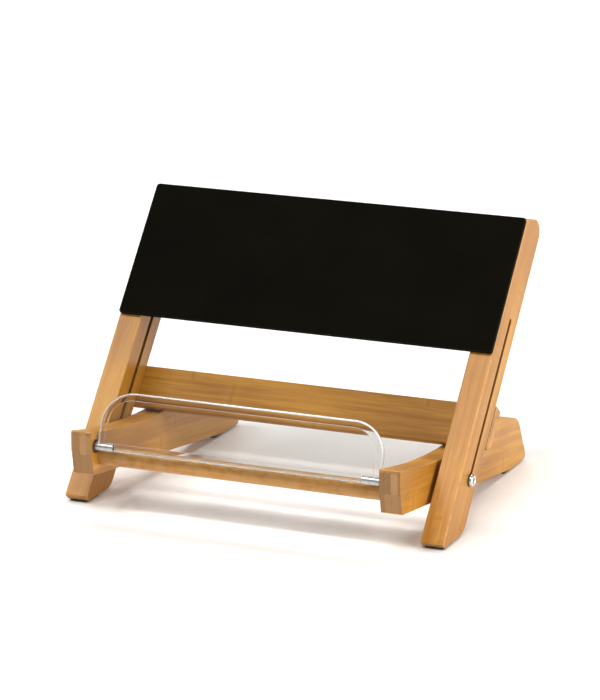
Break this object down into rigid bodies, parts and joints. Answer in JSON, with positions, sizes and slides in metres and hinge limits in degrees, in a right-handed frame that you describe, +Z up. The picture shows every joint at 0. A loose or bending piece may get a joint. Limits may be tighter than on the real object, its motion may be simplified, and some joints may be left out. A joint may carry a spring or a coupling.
{
  "type": "folding book stand",
  "caption": "Folding bamboo book or tablet stand: reclined slotted posts with a display panel, a base frame with a rear rail, and a clear tilting page holder.",
  "frame": {"origin": "middle of the stand's footprint, on the surface that it stands on", "axes": "+Z up, +X across the stand to the viewer's right, front of the stand towards -Y"},
  "size_m": [0.3072, 0.2642, 0.208],
  "materials": {
    "bamboo_posts": "satin lacquered laminated bamboo",
    "bamboo_base": "satin lacquered laminated bamboo",
    "bamboo_rail": "satin lacquered laminated bamboo",
    "bamboo_bar": "satin lacquered round bamboo",
    "panel_black": "satin black",
    "tape_black": "foam tape",
    "rubber_black": "matt",
    "nylon_black": "moulded nylon",
    "brass": "turned",
    "steel": "bright zinc",
    "clear_acrylic": "clear polished acrylic"
  },
  "bodies": {
    "base": {"left_base_member": "bamboo_base", "right_base_member": "bamboo_base", "rear_rail": "bamboo_rail", "rail_dowels": "bamboo_rail", "front_crossbar": "bamboo_bar", "rear_pads": "rubber_black", "pivot_inserts": "brass", "holder_bushes": "nylon_black"},
    "pivot": {"left_pivot_bolt": "steel", "right_pivot_bolt": "steel", "pivot_spacers": "nylon_black", "pivot_washers": "nylon_black"},
    "back_frame": {"left_post": "bamboo_posts", "right_post": "bamboo_posts", "display_panel": "panel_black", "panel_tapes": "tape_black", "front_pads": "rubber_black"},
    "holder": {"page_holder": "clear_acrylic", "left_clamp_pin": "steel", "right_clamp_pin": "steel"}
  },
  "joints": [
    {"name": "fold", "type": "hinge", "parent": "base", "child": "pivot", "pos_m": [0, -0.05005, 0.03857], "axis": [1, 0, 0], "range_deg": [0, 122.3]},
    {"name": "slot_travel", "type": "slide", "parent": "pivot", "child": "back_frame", "axis": [0, -0.6428, -0.766], "range_m": [0, 0.08]},
    {"name": "holder_tilt", "type": "hinge", "parent": "base", "child": "holder", "pos_m": [0, -0.12485, 0.05407], "axis": [1, 0, 0], "range_deg": [-69, 111]}
  ]
}
